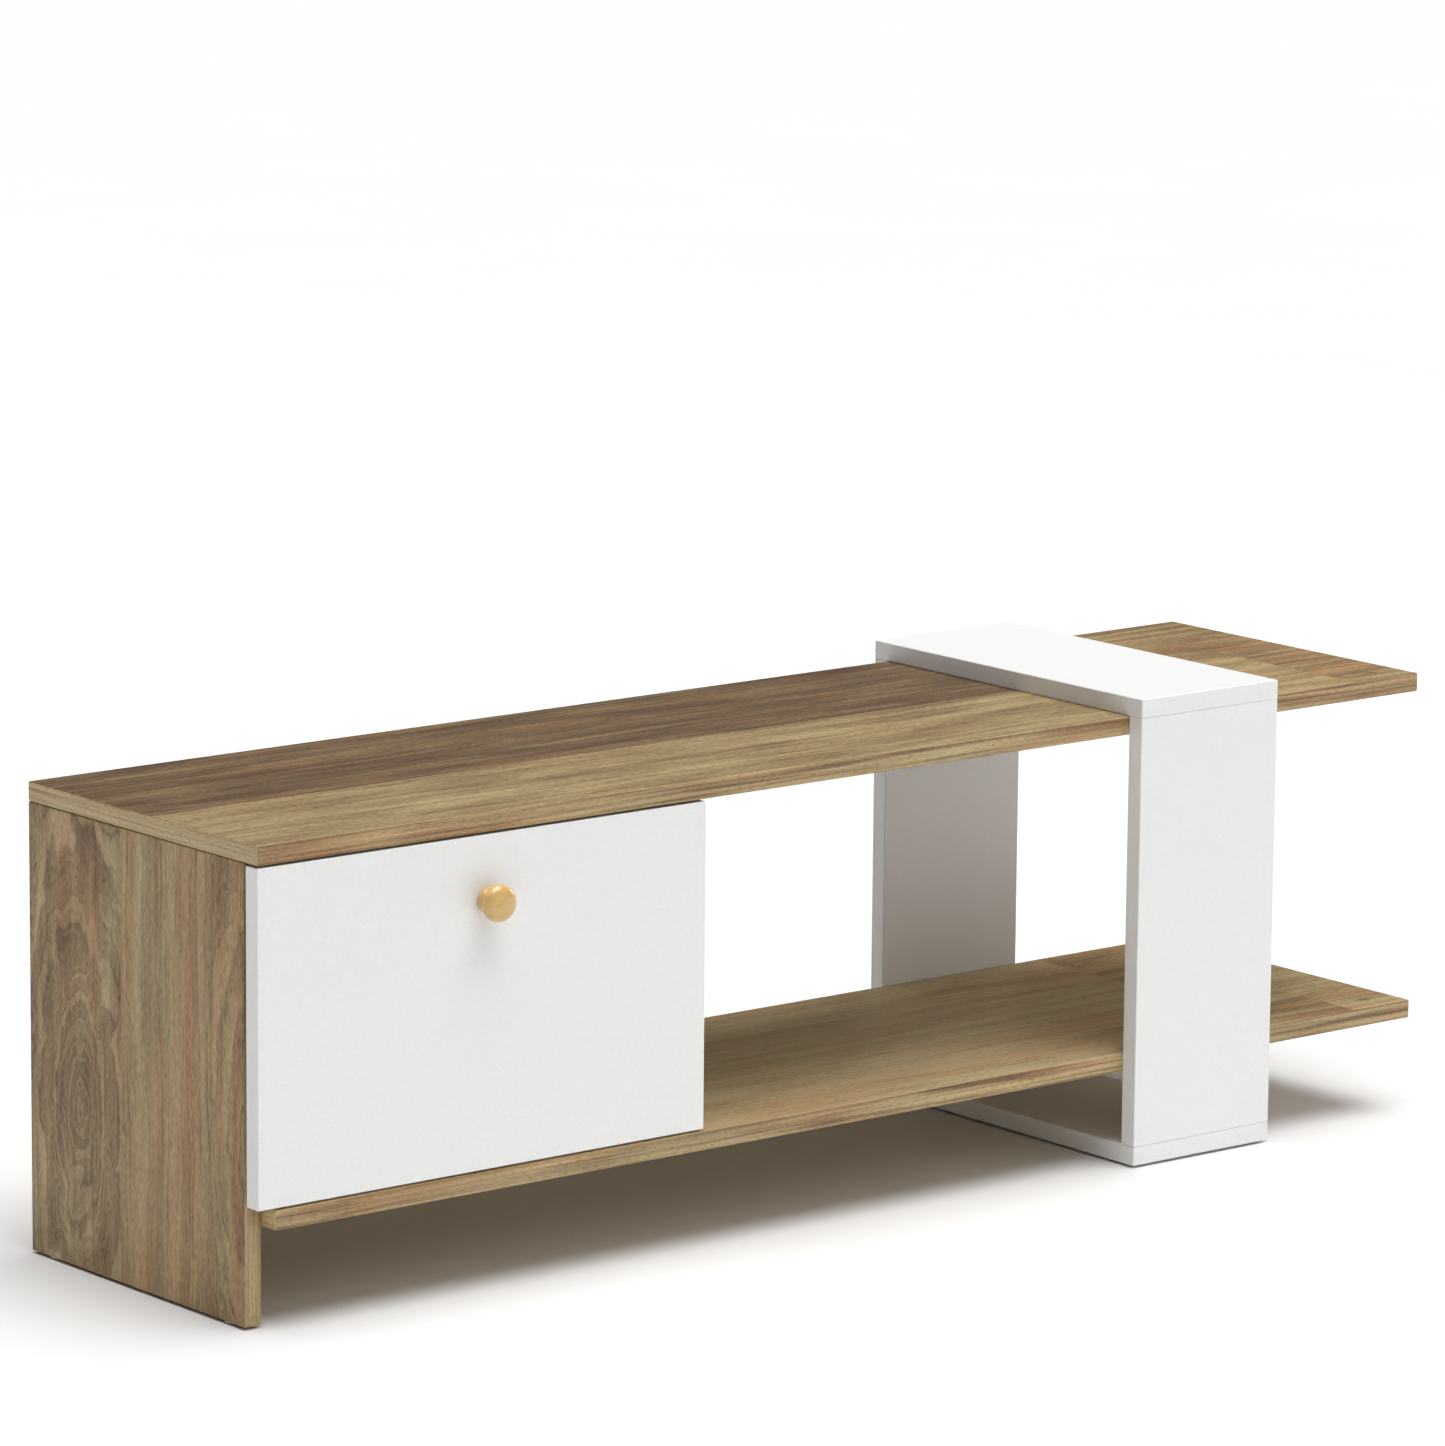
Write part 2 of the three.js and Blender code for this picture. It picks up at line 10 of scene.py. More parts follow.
import bmesh
import bpy
from mathutils import Matrix, Vector


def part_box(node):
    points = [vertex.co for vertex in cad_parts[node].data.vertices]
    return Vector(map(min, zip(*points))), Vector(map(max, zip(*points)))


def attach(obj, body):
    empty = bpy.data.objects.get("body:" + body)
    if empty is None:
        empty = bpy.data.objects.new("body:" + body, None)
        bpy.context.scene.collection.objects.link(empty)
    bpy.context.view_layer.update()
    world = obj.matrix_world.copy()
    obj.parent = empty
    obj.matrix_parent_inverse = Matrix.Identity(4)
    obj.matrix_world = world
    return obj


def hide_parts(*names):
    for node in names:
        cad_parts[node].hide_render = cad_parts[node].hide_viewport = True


LOG = logging.getLogger("tv_stand")
MM = 0.001
# Points this close together are merged.
MERGE_WITHIN = 0.001 * MM
# A point this close to a box's side lies on it.
TOUCH_WITHIN = 0.01 * MM
WHITE = (1.0, 1.0, 1.0, 1.0)
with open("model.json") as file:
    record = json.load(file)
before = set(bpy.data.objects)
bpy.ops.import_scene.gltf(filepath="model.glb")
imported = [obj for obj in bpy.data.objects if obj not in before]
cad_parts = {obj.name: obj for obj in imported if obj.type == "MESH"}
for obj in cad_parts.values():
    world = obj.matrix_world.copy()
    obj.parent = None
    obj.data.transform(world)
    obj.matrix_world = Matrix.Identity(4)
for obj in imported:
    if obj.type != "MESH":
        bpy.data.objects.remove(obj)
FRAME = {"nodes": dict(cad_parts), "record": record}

Mesh = bmesh.types.BMesh
Face = bmesh.types.BMFace
Piece = bpy.types.Object
Material = bpy.types.Material
Tree = bpy.types.NodeTree
Socket = bpy.types.NodeSocket
Pair = tuple[float, float]
Triple = tuple[float, float, float]


# ---------------------------------------------------------------- shader nodes


def linear(colour: str) -> tuple[float, float, float, float]:
    """Turns an sRGB hex colour to linear.

    Args:
        colour: six hex digits after a hash.

    Returns:
        Linear red, green and blue, and an alpha of 1.
    """
    parts = [int(colour[i : i + 2], 16) / 255 for i in (1, 3, 5)]
    red, green, blue = (c / 12.92 if c <= 0.04045 else ((c + 0.055) / 1.055) ** 2.4 for c in parts)
    return red, green, blue, 1.0


def add(
    tree: Tree,
    kind: str,
    inputs: dict[Any, Any] | None = None,
    output: int = 0,
    stops: dict[float, str] | None = None,
    **settings: Any,
) -> Socket:
    """Adds one shader node with its settings and links.

    Args:
        tree: node tree to add to.
        kind: node type, without the prefix that they all share.
        inputs: input name or index, to its value or to the socket that feeds it.
        output: index of the output wanted.
        stops: for a colour ramp, place on it to hex colour.
        settings: node properties.

    Returns:
        The wanted output, or nothing for a node that has none.
    """
    node = tree.nodes.new("ShaderNode" + kind)
    for name, value in settings.items():
        setattr(node, name, value)
    for name, value in (inputs or {}).items():
        if isinstance(value, bpy.types.NodeSocket):
            tree.links.new(value, node.inputs[name])
        else:
            node.inputs[name].default_value = value
    if stops:
        elements = node.color_ramp.elements
        while len(elements) < len(stops):
            elements.new(0.5)
        for element, place in zip(elements, sorted(stops)):
            element.position = place
            element.color = linear(stops[place])
    return node.outputs[output] if node.outputs else None


# ---------------------------------------------------------------- finishes


@dataclass(frozen=True)
class Finish:
    """A finish: what a surface is made of and how it was made."""

    name: str

    def paint(self, tree: Tree) -> dict[str, Any]:
        """Adds the pattern's nodes.

        Args:
            tree: node tree to add to.

        Returns:
            Input name to value or socket, for the surface shader.
        """
        raise NotImplementedError

    def make(self) -> Material:
        """Gives the material, which is built the first time that it is wanted.

        Returns:
            The material.
        """
        known = bpy.data.materials.get(self.name)
        if known:
            return known
        material = bpy.data.materials.new(self.name)
        material.use_nodes = True
        tree = material.node_tree
        tree.nodes.clear()
        surface = add(tree, "BsdfPrincipled", self.paint(tree))
        add(tree, "OutputMaterial", {"Surface": surface})
        return material


class Grain(Enum):
    """Way that a print runs, as the turn that brings it to its own X."""

    ALONG_X = (0.0, 0.0, 0.0)
    ALONG_Y = (0.0, 0.0, math.pi / 2)
    ALONG_Z = (0.0, -math.pi / 2, 0.0)


@dataclass(frozen=True)
class Plank:
    """One plank of a wood print, in metres along and across the grain from the board's middle.

    Tone runs from 0, dark, to 1, light. Warmth runs from 0, olive, to 1, red-brown. Squash is how
    short the growth rings' ovals are along the grain: near 0 they are long and straight.
    """

    along: Pair
    across: Pair
    heart: Pair
    squash: float
    tone: float
    warmth: float


@dataclass(frozen=True)
class WoodPrint(Finish):
    """Printed decor paper under clear melamine, pressed on a satin plate.

    The eye sees olive-tan walnut planks with oval growth rings, red-brown streaks and short dark
    pores, under an even low sheen that dulls a little in the dark streaks.
    """

    grain: Grain = Grain.ALONG_X
    centre: Triple = (0.0, 0.0, 0.0)
    planks: tuple[Plank, ...] = ()
    knots: tuple[Pair, ...] = ()
    seed: float = 0.0
    seed_step: float = 1.7

    # Colours from dark to light, the places on the ramp that they take, and the red-brown tint.
    palette: tuple[str, ...] = ("#4b3827", "#745e41", "#98825a", "#b19e72", "#c8b78b")
    places: tuple[float, ...] = (0.1, 0.32, 0.5, 0.66, 0.9)
    tint: str = "#ffe1d3"

    # Widths of the broad growth rings and of the streaks, and how far both wander sideways.
    # Growth rings are 2 to 4 mm apart; they are drawn up to 11 mm apart so that they show.
    ring_step: float = 11.0 * MM
    streak_step: float = 3.0 * MM
    wander: float = 30.0 * MM
    swing: float = 110.0 * MM

    # Darkest tone on the ramp, how far up it a plank's tone of 1 reaches, and the roughness from
    # dark to light, between two places on the ramp.
    tone_floor: float = 0.25
    tone_reach: float = 0.5
    roughness: Pair = (0.56, 0.44)
    roughness_between: Pair = (0.2, 0.8)
    relief: float = 0.06 * MM

    # Where on their patterns the thin dark lines, the tint and the pores start and end.
    line_width: float = 0.03
    line_edge: float = 0.03
    blush_between: Pair = (0.38, 0.68)
    pore_between: Pair = (0.52, 0.74)
    pore_depth: float = 0.5
    knot_between: Pair = (0.1, 1.0)
    knot_depth: float = 0.8

    # How strongly each pattern shifts the tone; rings and swirls grow with the plank's squash.
    rings: float = 1.5
    straight_rings: float = 0.3
    lines: float = 0.12
    streaks: float = 0.35
    swirls: float = 1.4
    fibres: float = 0.75
    mottle: float = 0.5

    # Pattern cells to a metre along and across the grain, and one to a seed.
    wander_cells: Triple = (4.0, 13.0, 1.0)
    swirl_cells: Triple = (14.0, 32.0, 1.0)
    mottle_cells: Triple = (7.0, 40.0, 1.0)
    blush_cells: Triple = (3.0, 30.0, 1.0)
    # Fibres are 0.1 mm wide; they are drawn 1.2 mm wide so that they show.
    fibre_cells: Triple = (130.0, 800.0, 1.0)
    # Pores are 0.2 mm wide; they are drawn 0.8 mm wide so that they show.
    pore_cells: Triple = (150.0, 1300.0, 1.0)
    # A knot fades out 14 mm along and 5 mm across from its middle; these are 1 over those.
    knot_cells: Triple = (70.0, 190.0, 0.0)
    ring_cells_along: float = 1.5
    streak_cells_along: float = 4.0

    def paint(self, tree: Tree) -> dict[str, Any]:
        """Adds the print's nodes.

        Args:
            tree: node tree to add to.

        Returns:
            Input name to value or socket, for the surface shader.
        """
        coords = add(tree, "TexCoord", output=3)
        turned = {"Vector": coords, "Location": self.centre, "Rotation": self.grain.value}
        placed = add(tree, "Mapping", turned, vector_type="TEXTURE")
        along, side, depth = add(tree, "SeparateXYZ", {0: placed}).node.outputs
        across = add(tree, "Math", {0: side, 1: depth}, operation="ADD")
        heart, look = self.chart(tree, along, across)
        seed = add(tree, "SeparateXYZ", {0: heart}, output=2)
        tone, warmth, squash = add(tree, "SeparateXYZ", {0: look}).node.outputs

        flat = add(tree, "CombineXYZ", {0: along, 1: across, 2: seed})
        slow = add(tree, "VectorMath", {0: flat, 1: self.wander_cells}, operation="MULTIPLY")
        slow = {"Vector": slow, "Scale": 1.0, "Detail": 3.0, "Roughness": 0.45}
        slow = add(tree, "TexNoise", slow)
        side = add(tree, "Math", {0: slow, 1: self.wander, 2: across}, operation="MULTIPLY_ADD")
        bent = add(tree, "CombineXYZ", {0: along, 1: side, 2: seed})

        swirl = add(tree, "VectorMath", {0: bent, 1: self.swirl_cells}, operation="MULTIPLY")
        swirl = {"Vector": swirl, "Scale": 1.0, "Detail": 3.0, "Roughness": 0.45, "Distortion": 0.6}
        swirl = add(tree, "TexNoise", swirl)
        growth = self.growth(tree, bent, heart, squash, swirl)
        line = add(tree, "Math", {0: growth, 1: 0.5}, operation="SUBTRACT")
        line = add(tree, "Math", {0: line}, operation="ABSOLUTE")
        line = {0: line, 1: 0.0, 2: self.line_width, 3: -self.lines, 4: self.line_edge}
        line = add(tree, "MapRange", line)
        streak = (self.streak_cells_along, 1 / self.streak_step, 1.0)
        streak = add(tree, "VectorMath", {0: bent, 1: streak}, operation="MULTIPLY")
        streak = {"Vector": streak, "Scale": 1.0, "Detail": 3.0, "Roughness": 0.6}
        streak = add(tree, "TexNoise", streak)
        fibre = add(tree, "VectorMath", {0: bent, 1: self.fibre_cells}, operation="MULTIPLY")
        fibre = {"Vector": fibre, "Scale": 1.0, "Detail": 3.0, "Roughness": 0.7}
        fibre = add(tree, "TexNoise", fibre)
        mottle = add(tree, "VectorMath", {0: bent, 1: self.mottle_cells}, operation="MULTIPLY")
        mottle = add(tree, "TexNoise", {"Vector": mottle, "Scale": 1.0, "Detail": 2.0})
        swirl_weight = add(tree, "Math", {0: squash, 1: self.swirls}, operation="MULTIPLY")
        ring_weight = {0: squash, 1: self.rings, 2: self.straight_rings}
        ring_weight = add(tree, "Math", ring_weight, operation="MULTIPLY_ADD")

        level = {0: tone, 1: self.tone_reach, 2: line}
        level = add(tree, "Math", level, operation="MULTIPLY_ADD")
        level = add(tree, "Math", {0: level, 1: self.tone_floor}, operation="ADD")
        mix = {
            growth: ring_weight,
            streak: self.streaks,
            fibre: self.fibres,
            mottle: self.mottle,
            swirl: swirl_weight,
        }
        for pattern, weight in mix.items():
            centred = add(tree, "Math", {0: pattern, 1: 0.5}, operation="SUBTRACT")
            level = add(tree, "Math", {0: centred, 1: weight, 2: level}, operation="MULTIPLY_ADD")
        colour = add(tree, "ValToRGB", {0: level}, stops=dict(zip(self.places, self.palette)))

        blush = add(tree, "VectorMath", {0: bent, 1: self.blush_cells}, operation="MULTIPLY")
        blush = add(tree, "TexNoise", {"Vector": blush, "Scale": 1.0, "Detail": 2.0})
        blush = dict(enumerate((blush, *self.blush_between)))
        blush = add(tree, "MapRange", blush)
        blush = add(tree, "Math", {0: blush, 1: warmth}, operation="MULTIPLY")
        blush = {0: blush, 6: colour, 7: linear(self.tint)}
        colour = add(tree, "Mix", blush, output=2, data_type="RGBA", blend_type="MULTIPLY")
        pore = self.pores(tree, flat)
        shade = {0: pore, 6: colour, 7: linear(self.palette[0])}
        colour = add(tree, "Mix", shade, output=2, data_type="RGBA")
        relief = add(tree, "Math", {0: streak, 1: pore}, operation="SUBTRACT")
        relief = {"Height": relief, "Strength": 0.3, "Distance": self.relief}
        rough = dict(enumerate((level, *self.roughness_between, *self.roughness)))
        return {
            "Base Color": colour,
            "Roughness": add(tree, "MapRange", rough),
            "Normal": add(tree, "Bump", relief),
        }

    def growth(
        self, tree: Tree, bent: Socket, heart: Socket, squash: Socket, swirl: Socket
    ) -> Socket:
        """Adds the growth rings, as ovals about the plank's heart.

        Args:
            tree: node tree to add to.
            bent: distance along and across the wandering grain, and the seed.
            heart: the rings' middle, and the seed.
            squash: how short the ovals are along the grain.
            swirl: pattern that bends the ovals.

        Returns:
            The rings' pattern, from 0 to 1.
        """
        reach = add(tree, "VectorMath", {0: bent, 1: heart}, operation="SUBTRACT")
        length, width, _ = add(tree, "SeparateXYZ", {0: reach}).node.outputs
        length = add(tree, "Math", {0: length, 1: squash}, operation="MULTIPLY")
        oval = add(tree, "CombineXYZ", {0: length, 1: width})
        ring = add(tree, "VectorMath", {0: oval}, output=1, operation="LENGTH")
        swing = add(tree, "Math", {0: squash, 1: self.swing}, operation="MULTIPLY")
        ring = add(tree, "Math", {0: swirl, 1: swing, 2: ring}, operation="MULTIPLY_ADD")
        along, _, seed = add(tree, "SeparateXYZ", {0: bent}).node.outputs
        rings = add(tree, "CombineXYZ", {0: ring, 1: along, 2: seed})
        cells = (1 / self.ring_step, self.ring_cells_along, 1.0)
        rings = add(tree, "VectorMath", {0: rings, 1: cells}, operation="MULTIPLY")
        rings = {"Vector": rings, "Scale": 1.0, "Detail": 3.0, "Roughness": 0.5}
        return add(tree, "TexNoise", rings)

    def pores(self, tree: Tree, flat: Socket) -> Socket:
        """Adds the pores and the knots.

        Args:
            tree: node tree to add to.
            flat: distance along and across the grain, and the seed.

        Returns:
            How dark the pores and knots are, from 0 to 1.
        """
        pore = add(tree, "VectorMath", {0: flat, 1: self.pore_cells}, operation="MULTIPLY")
        pore = add(tree, "TexNoise", {"Vector": pore, "Scale": 1.0, "Detail": 1.0})
        pore = dict(enumerate((pore, *self.pore_between, 0.0, self.pore_depth)))
        pore = add(tree, "MapRange", pore)
        for knot in self.knots:
            away = add(tree, "VectorMath", {0: flat, 1: (*knot, 0.0)}, operation="SUBTRACT")
            away = add(tree, "VectorMath", {0: away, 1: self.knot_cells}, operation="MULTIPLY")
            away = add(tree, "VectorMath", {0: away}, output=1, operation="LENGTH")
            away = dict(enumerate((away, *self.knot_between, self.knot_depth, 0.0)))
            away = add(tree, "MapRange", away)
            pore = add(tree, "Math", {0: pore, 1: away}, operation="MAXIMUM")
        return pore

    def chart(self, tree: Tree, along: Socket, across: Socket) -> tuple[Socket, Socket]:
        """Finds the plank at each point.

        Args:
            tree: node tree to add to.
            along: distance along the grain.
            across: distance across the grain.

        Returns:
            The plank's heart and seed, and its tone, warmth and squash.
        """
        heart: Any = (0.0, 0.0, 0.0)
        look: Any = (0.5, 0.3, 0.1)
        for number, plank in enumerate(self.planks):
            inside: Any = 1.0
            for place, (low, high) in ((along, plank.along), (across, plank.across)):
                between = {0: place, 1: (low + high) / 2, 2: (high - low) / 2}
                between = add(tree, "Math", between, operation="COMPARE")
                inside = add(tree, "Math", {0: inside, 1: between}, operation="MULTIPLY")
            own = (*plank.heart, self.seed + self.seed_step * number)
            heart = add(tree, "Mix", {0: inside, 4: heart, 5: own}, output=1, data_type="VECTOR")
            own = (plank.tone, plank.warmth, plank.squash)
            look = add(tree, "Mix", {0: inside, 4: look, 5: own}, output=1, data_type="VECTOR")
        return heart, look


@dataclass(frozen=True)
class WhiteMelamine(Finish):
    """Melamine-faced board, pressed with a pearl plate: satin white with very fine soft pits."""

    name: str = "white_melamine_board"
    colour: str = "#f2f2f1"
    shade: str = "#ececea"

    def paint(self, tree: Tree) -> dict[str, Any]:
        """Adds the board's nodes.

        Args:
            tree: node tree to add to.

        Returns:
            Input name to value or socket, for the surface shader.
        """
        coords = add(tree, "TexCoord", output=3)
        # Pearl pits are about 0.6 mm; 1.8 mm is used so that they show.
        pits = add(tree, "TexNoise", {"Vector": coords, "Scale": 1 / (1.8 * MM), "Detail": 2.0})
        stops = {0.3: self.shade, 0.7: self.colour}
        return {
            "Base Color": add(tree, "ValToRGB", {0: pits}, stops=stops),
            "Roughness": add(tree, "MapRange", {0: pits, 3: 0.36, 4: 0.5}),
            "Normal": add(tree, "Bump", {"Height": pits, "Strength": 0.25, "Distance": 0.06 * MM}),
        }


@dataclass(frozen=True)
class Hardboard(Finish):
    """Pressed wood-fibre board, bare: mid brown felted fibres, dead matt."""

    name: str = "bare_hardboard"
    light: str = "#9a7550"
    dark: str = "#6f5036"

    def paint(self, tree: Tree) -> dict[str, Any]:
        """Adds the fibres' nodes.

        Args:
            tree: node tree to add to.

        Returns:
            Input name to value or socket, for the surface shader.
        """
        coords = add(tree, "TexCoord", output=3)
        # Felted fibres are about 0.5 mm apart; 2.5 mm is used so that they show.
        fibre = {"Vector": coords, "Scale": 1 / (2.5 * MM), "Detail": 4.0}
        fibre = add(tree, "TexNoise", fibre | {"Roughness": 0.7, "Distortion": 1.5})
        stops = {0.3: self.dark, 0.7: self.light}
        return {
            "Base Color": add(tree, "ValToRGB", {0: fibre}, stops=stops),
            "Roughness": add(tree, "MapRange", {0: fibre, 3: 0.85, 4: 0.7}),
            "Normal": add(tree, "Bump", {"Height": fibre, "Strength": 0.4, "Distance": 0.15 * MM}),
        }


@dataclass(frozen=True)
class WhiteLacquer(Finish):
    """White roller-coated lacquer on hardboard: thin matt coat over a faint fibre pattern."""

    name: str = "white_lacquered_hardboard"
    colour: str = "#e9e8e4"
    shade: str = "#dfded9"

    def paint(self, tree: Tree) -> dict[str, Any]:
        """Adds the coat's nodes.

        Args:
            tree: node tree to add to.

        Returns:
            Input name to value or socket, for the surface shader.
        """
        coords = add(tree, "TexCoord", output=3)
        # The fibres under the coat are about 0.5 mm apart; 3 mm is used so that they show.
        coat = add(tree, "TexNoise", {"Vector": coords, "Scale": 1 / (3.0 * MM), "Detail": 3.0})
        stops = {0.3: self.shade, 0.7: self.colour}
        return {
            "Base Color": add(tree, "ValToRGB", {0: coat}, stops=stops),
            "Roughness": add(tree, "MapRange", {0: coat, 3: 0.5, 4: 0.65}),
            "Normal": add(tree, "Bump", {"Height": coat, "Strength": 0.3, "Distance": 0.08 * MM}),
        }


@dataclass(frozen=True)
class LacqueredBeech(Finish):
    """Beech turned on a lathe and dipped in clear gloss lacquer.

    The eye sees honey wood with soft lengthwise bands and short brown flecks, under a clear coat
    with small hard highlights.
    """

    name: str = "lacquered_turned_beech"
    light: str = "#d8b26b"
    dark: str = "#ca9f57"
    fleck: str = "#a4773f"

    def paint(self, tree: Tree) -> dict[str, Any]:
        """Adds the grain's nodes.

        Args:
            tree: node tree to add to.

        Returns:
            Input name to value or socket, for the surface shader.
        """
        coords = add(tree, "TexCoord", output=3)
        # Growth bands are about 4 mm apart, and the grain runs through the knob, along Y.
        band = add(tree, "VectorMath", {0: coords, 1: (90.0, 12.0, 260.0)}, operation="MULTIPLY")
        band = {"Vector": band, "Scale": 1.0, "Detail": 3.0, "Distortion": 0.4}
        band = add(tree, "TexNoise", band)
        # Rays are 0.3 mm wide; they are drawn 0.8 mm wide so that they show.
        rays = add(tree, "VectorMath", {0: coords, 1: (1300.0, 60.0, 420.0)}, operation="MULTIPLY")
        rays = add(tree, "TexNoise", {"Vector": rays, "Scale": 1.0, "Detail": 1.0})
        rays = add(tree, "MapRange", {0: rays, 1: 0.6, 2: 0.75, 4: 0.35})
        wood = add(tree, "ValToRGB", {0: band}, stops={0.25: self.dark, 0.7: self.light})
        flecked = {0: rays, 6: wood, 7: linear(self.fleck)}
        return {
            "Base Color": add(tree, "Mix", flecked, output=2, data_type="RGBA"),
            "Roughness": add(tree, "MapRange", {0: band, 3: 0.42, 4: 0.34}),
            "IOR": 1.5,
            "Coat Weight": 1.0,
            "Coat Roughness": 0.1,
            "Coat IOR": 1.5,
            "Normal": add(tree, "Bump", {"Height": rays, "Strength": 0.1, "Distance": 0.05 * MM}),
        }


@dataclass(frozen=True)
class Metal(Finish):
    """A plated or cast metal: even colour, with a fine texture that breaks up its reflections.

    The texture's real size is 0.1 to 0.3 mm; its step is several times that so that it shows.
    """

    light: str = "#c9c9c6"
    dark: str = "#aaaaa6"
    step: Triple = (1.2 * MM, 1.2 * MM, 1.2 * MM)
    smooth: float = 0.22
    rough: float = 0.36
    relief: float = 0.02 * MM

    def paint(self, tree: Tree) -> dict[str, Any]:
        """Adds the texture's nodes.

        Args:
            tree: node tree to add to.

        Returns:
            Input name to value or socket, for the surface shader.
        """
        coords = add(tree, "TexCoord", output=3)
        scale = tuple(1 / s for s in self.step)
        grit = add(tree, "VectorMath", {0: coords, 1: scale}, operation="MULTIPLY")
        grit = {"Vector": grit, "Scale": 1.0, "Detail": 3.0, "Roughness": 0.6}
        grit = add(tree, "TexNoise", grit)
        stops = {0.3: self.dark, 0.7: self.light}
        return {
            "Base Color": add(tree, "ValToRGB", {0: grit}, stops=stops),
            "Metallic": 1.0,
            "Roughness": add(tree, "MapRange", {0: grit, 3: self.smooth, 4: self.rough}),
            "Normal": add(tree, "Bump", {"Height": grit, "Strength": 0.3, "Distance": self.relief}),
        }


# Pressed strip, tumbled and nickel plated: warm grey, bright, with faint rolling lines along Y.
NICKEL_PLATE = Metal("nickel_plated_steel", "#cfcdc6", "#b4b1a9", (0.6 * MM, 6.0 * MM, 0.6 * MM))
# Cold-headed screws, zinc plated and clear passivated: bluish, bright, a little cloudy.
ZINC_PLATE = Metal("zinc_plated_steel", "#c8ccd2", "#a3a8b0", smooth=0.2, rough=0.38)
# Zinc alloy as it leaves the die: dull mid grey with a coarse cast skin.
CAST_ZINC = Metal(
    "die_cast_zinc", "#a9abac", "#85888a", (0.8 * MM,) * 3, smooth=0.42, rough=0.6, relief=0.06 * MM
)


@dataclass(frozen=True)
class MouldedPlastic(Finish):
    """Polyethylene moulded in a spark-eroded tool: fine even grain, soft sheen."""

    light: str = "#e6e6e2"
    dark: str = "#dadad5"
    clearness: float = 0.0

    def paint(self, tree: Tree) -> dict[str, Any]:
        """Adds the grain's nodes.

        Args:
            tree: node tree to add to.

        Returns:
            Input name to value or socket, for the surface shader.
        """
        coords = add(tree, "TexCoord", output=3)
        # Spark-eroded grain is about 0.1 mm; 0.9 mm is used so that it shows.
        grain = add(tree, "TexNoise", {"Vector": coords, "Scale": 1 / (0.9 * MM), "Detail": 2.0})
        stops = {0.3: self.dark, 0.7: self.light}
        return {
            "Base Color": add(tree, "ValToRGB", {0: grain}, stops=stops),
            "Roughness": add(tree, "MapRange", {0: grain, 3: 0.38, 4: 0.5}),
            "IOR": 1.5,
            "Transmission Weight": self.clearness,
            "Normal": add(tree, "Bump", {"Height": grain, "Strength": 0.3, "Distance": 0.04 * MM}),
        }


WHITE_PLASTIC = MouldedPlastic("moulded_white_plastic")
BROWN_PLASTIC = MouldedPlastic("moulded_brown_plastic", "#8d7250", "#7d6446")
# Cast polyurethane drop: nearly clear, with a soft skin.
CLEAR_PLASTIC = MouldedPlastic("cast_clear_polyurethane", "#f2f4f4", "#e6e9e9", clearness=0.75)


# ---------------------------------------------------------------- pieces


def cad_copy(node: str) -> Mesh:
    """Copies a CAD node's solid, with its corners merged and its flat faces whole.

    Args:
        node: CAD node to copy.

    Returns:
        The copy.
    """
    bm = bmesh.new()
    bm.from_mesh(FRAME["nodes"][node].data)
    bmesh.ops.remove_doubles(bm, verts=bm.verts, dist=MERGE_WITHIN)
    bmesh.ops.dissolve_limit(
        bm, angle_limit=math.radians(0.5), verts=bm.verts, edges=bm.edges, delimit={"NORMAL"}
    )
    return bm


def round_edges(bm: Mesh, edges: list[bmesh.types.BMEdge], radius: float, segments: int) -> None:
    """Rounds edges in place.

    Args:
        bm: mesh to change.
        edges: edges to round.
        radius: edge radius in metres.
        segments: facets across each rounded edge.
    """
    bmesh.ops.bevel(
        bm,
        geom=edges,
        offset=radius,
        offset_type="OFFSET",
        affect="EDGES",
        segments=segments,
        profile=0.5,
        material=-1,
        clamp_overlap=True,
    )


def finish_piece(
    bm: Mesh,
    name: str,
    body: str,
    slot: str,
    finishes: list[Finish],
    choose: Callable[[Face], int] | None = None,
    replaced: tuple[str, ...] = (),
    crease: float = 40.0,
) -> Piece:
    """Turns a mesh into a finished piece.

    Args:
        bm: the mesh, which is freed.
        name: piece name.
        body: CAD body that it rides on.
        slot: the record's material slot; not used.
        finishes: its finishes.
        choose: gives each face the number of its finish.
        replaced: CAD nodes that it stands for.
        crease: angle in degrees from which an edge stays crisp.

    Returns:
        The new object.
    """
    for face in bm.faces:
        face.smooth = True
        face.material_index = choose(face) if choose else 0
    mesh = bpy.data.meshes.new(name)
    bm.to_mesh(mesh)
    bm.free()
    mesh.set_sharp_from_angle(angle=math.radians(crease))
    for finish in finishes:
        mesh.materials.append(finish.make())
    piece = bpy.data.objects.new(name, mesh)
    bpy.context.scene.collection.objects.link(piece)
    # Broad faces are shaded flat right up to their rounded edges.
    shading = piece.modifiers.new("flat_faces_lead", "WEIGHTED_NORMAL")
    shading.weight = 100
    shading.keep_sharp = True
    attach(piece, body)
    if replaced:
        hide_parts(*replaced)
    LOG.info("%s rides on %s", name, body)
    return piece


